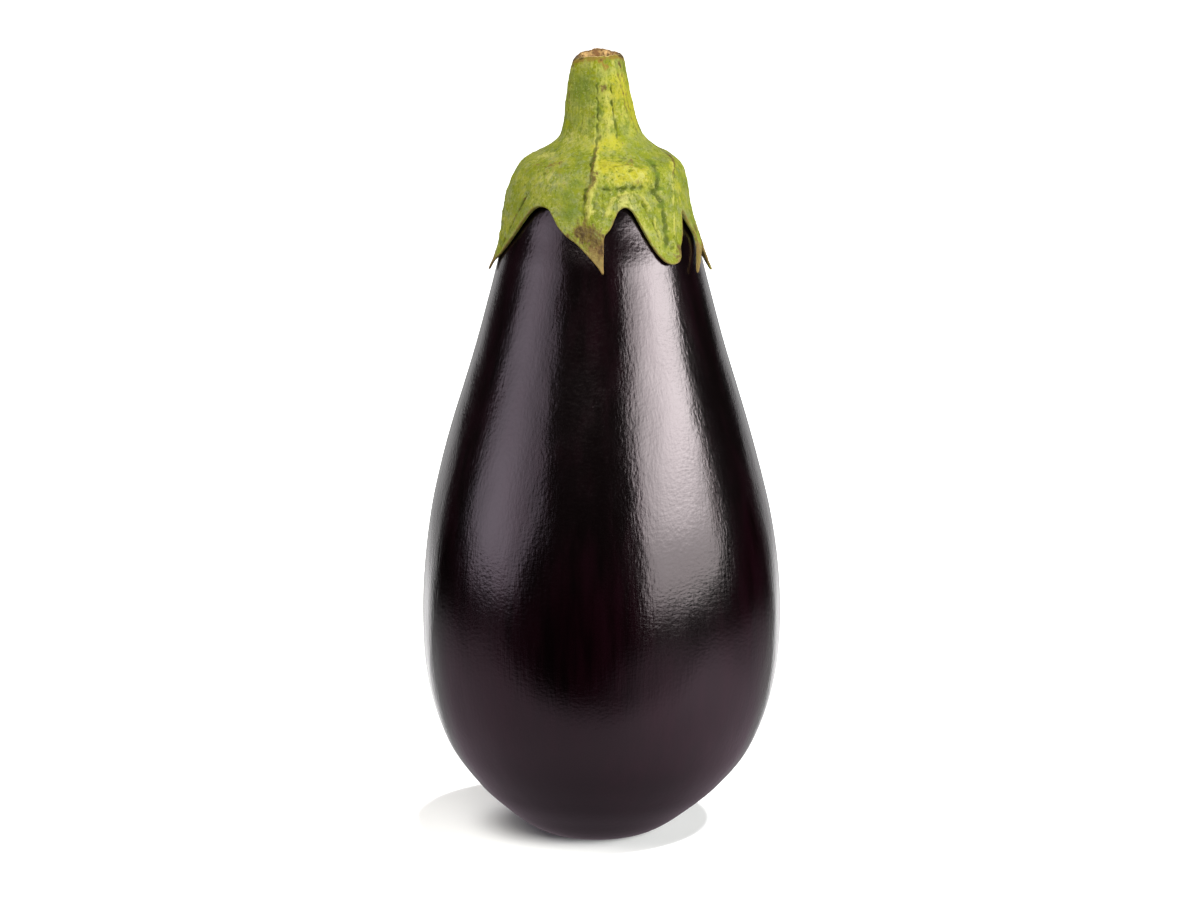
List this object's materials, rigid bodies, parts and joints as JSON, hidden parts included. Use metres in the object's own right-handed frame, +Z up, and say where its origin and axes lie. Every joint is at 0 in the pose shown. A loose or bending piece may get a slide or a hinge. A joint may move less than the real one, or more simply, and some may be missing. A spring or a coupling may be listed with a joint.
{
  "type": "eggplant",
  "caption": "Whole globe eggplant with glossy near-black purple skin, a lobed green calyx and a short cut stem, standing upright on its flat spot",
  "frame": {"origin": "on the ground under the middle of the eggplant as it stands", "axes": "+Z up along the eggplant from its flat spot to the cut stem, -Y the front, +X to the right seen from the front"},
  "size_m": [0.092, 0.092, 0.2042],
  "materials": {
    "skin": "waxy glossy near-black purple fruit skin with fine upright wrinkles",
    "calyx_green": "matt leathery yellow-green leaf, browned at the edges and tips",
    "stem_green": "matt ribbed yellow-green stalk with a dry tan cut"
  },
  "bodies": {
    "root": {"fruit": "skin", "calyx": "calyx_green", "stem": "stem_green"}
  },
  "joints": []
}
